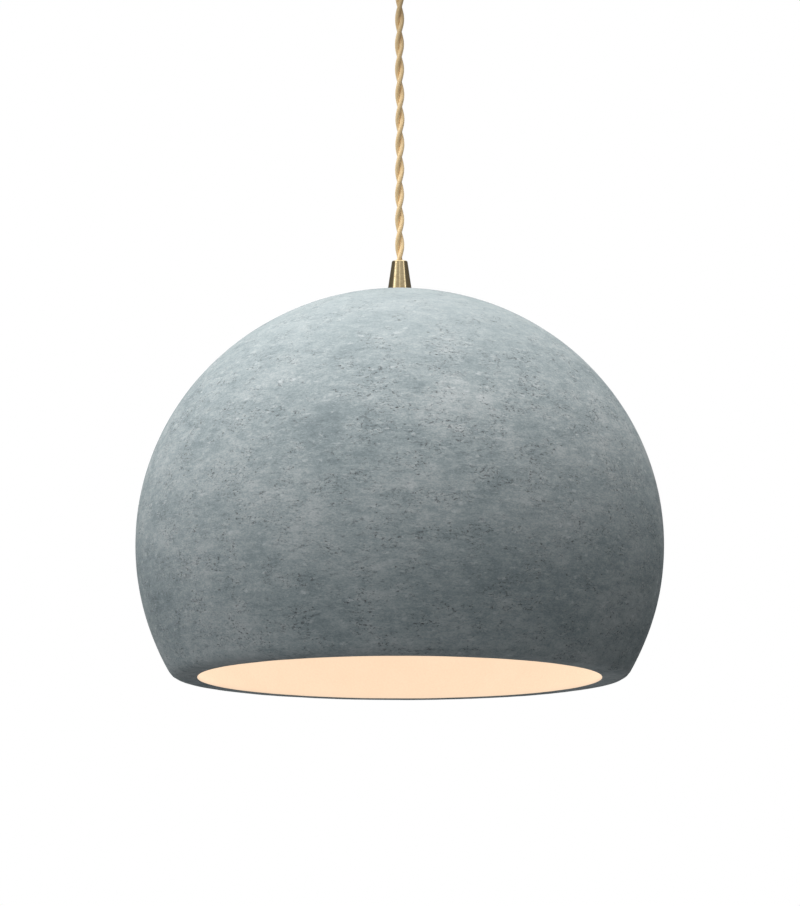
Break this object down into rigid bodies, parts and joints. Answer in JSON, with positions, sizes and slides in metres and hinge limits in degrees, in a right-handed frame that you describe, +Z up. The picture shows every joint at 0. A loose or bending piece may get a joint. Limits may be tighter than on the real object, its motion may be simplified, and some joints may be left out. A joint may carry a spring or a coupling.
{
  "type": "pendant ceiling light",
  "caption": "Domed pendant shade of concrete-grey moulded pulp on a twisted textile cord, with brass cord grips, ceiling canopy, lampholder and screw-in bulb.",
  "frame": {"origin": "centre of the ceiling bracket's top face, where it lies against the ceiling", "axes": "+Z up out of the bracket into the ceiling; the lamp hangs along -Z; +X along the bracket"},
  "size_m": [0.3999, 0.4, 0.5858],
  "materials": {
    "satin_brass": "satin, lightly aged",
    "plated_steel": "yellow-passivated plating",
    "zinc_steel": "zinc plated, dull",
    "screw_steel": "bright zinc",
    "contact_brass": "bright, stamped",
    "nylon": "natural",
    "gasket_rubber": "matte",
    "cord_textile": "braided, satin",
    "holder_black": "moulded phenolic, semi-gloss",
    "holder_ceramic": "unglazed, off-white",
    "block_plastic": "natural polyamide",
    "lead_brown": "insulation",
    "lead_blue": "insulation",
    "shade_pulp": "moulded pulp with a mineral skin, concrete grey, matte",
    "bulb_opal": "opal, blown",
    "bulb_cap_metal": "nickel plated",
    "bulb_black": "vitreous insulator",
    "stem_glass": "clear",
    "filament_phosphor": "phosphor coated",
    "wire_nickel": "drawn wire",
    "board_green": "lacquered board"
  },
  "bodies": {
    "ceiling": {"ceiling_bracket": "zinc_steel", "canopy": "satin_brass", "canopy_screws": "screw_steel", "canopy_grip_cone": "satin_brass", "canopy_grip_collet": "nylon", "canopy_tube": "plated_steel", "canopy_washer": "plated_steel", "canopy_lock_nut": "plated_steel", "terminal_block": "block_plastic", "terminal_tubes": "contact_brass", "terminal_screws": "screw_steel", "terminal_block_screw": "screw_steel", "supply_lead_live": "lead_brown", "supply_lead_neutral": "lead_blue", "cord_in_canopy": "cord_textile"},
    "cord_upper_bend": {"cord_bend_upper": "cord_textile"},
    "cord": {"suspension_cord": "cord_textile"},
    "cord_lower_bend": {"cord_bend_lower": "cord_textile"},
    "shade": {"shade": "shade_pulp", "shade_grip_cone": "satin_brass", "shade_grip_collet": "nylon", "shade_tube": "plated_steel", "crown_gasket": "gasket_rubber", "inner_gasket": "gasket_rubber", "load_washer": "plated_steel", "shade_lock_nut": "plated_steel", "cord_in_shade_tube": "cord_textile", "lampholder_cap": "holder_black", "lampholder_skirt": "holder_black", "lampholder_insert": "holder_ceramic", "lampholder_screw_shell": "contact_brass", "lampholder_centre_contact": "contact_brass", "lampholder_rivets": "contact_brass", "lampholder_terminal_screws": "screw_steel", "lampholder_grub_screw": "screw_steel", "lampholder_lead_live": "lead_brown", "lampholder_lead_neutral": "lead_blue"},
    "bulb_tip": {"bulb_tip_contact": "bulb_cap_metal"},
    "bulb": {"bulb_glass": "bulb_opal", "bulb_cap": "bulb_cap_metal", "bulb_insulator": "bulb_black", "bulb_stem": "stem_glass", "bulb_filaments": "filament_phosphor", "bulb_wires": "wire_nickel", "bulb_driver_board": "board_green"}
  },
  "joints": [
    {"name": "swing_x", "type": "hinge", "parent": "ceiling", "child": "cord_upper_bend", "pos_m": [0, 0, -0.05], "axis": [1, 0, 0], "range_deg": [-25, 25]},
    {"name": "swing_y", "type": "hinge", "parent": "cord_upper_bend", "child": "cord", "pos_m": [0, 0, -0.05], "axis": [0, 1, 0], "range_deg": [-25, 25]},
    {"name": "tilt_x", "type": "hinge", "parent": "cord", "child": "cord_lower_bend", "pos_m": [0, 0, -0.267], "axis": [1, 0, 0], "range_deg": [-25, 25]},
    {"name": "tilt_y", "type": "hinge", "parent": "cord_lower_bend", "child": "shade", "pos_m": [0, 0, -0.267], "axis": [0, 1, 0], "range_deg": [-25, 25]},
    {"name": "bulb_travel", "type": "slide", "parent": "shade", "child": "bulb_tip", "axis": [0, 0, 1], "range_m": [-0.0145, 0]},
    {"name": "bulb_turn", "type": "hinge", "parent": "bulb_tip", "child": "bulb", "pos_m": [0, 0, -0.36], "axis": [0, 0, 1], "range_deg": [-1440, 0]}
  ],
  "couplings": [
    {"joint": "bulb_turn", "follows": "bulb_travel", "rad_per_m": 1731.4}
  ]
}
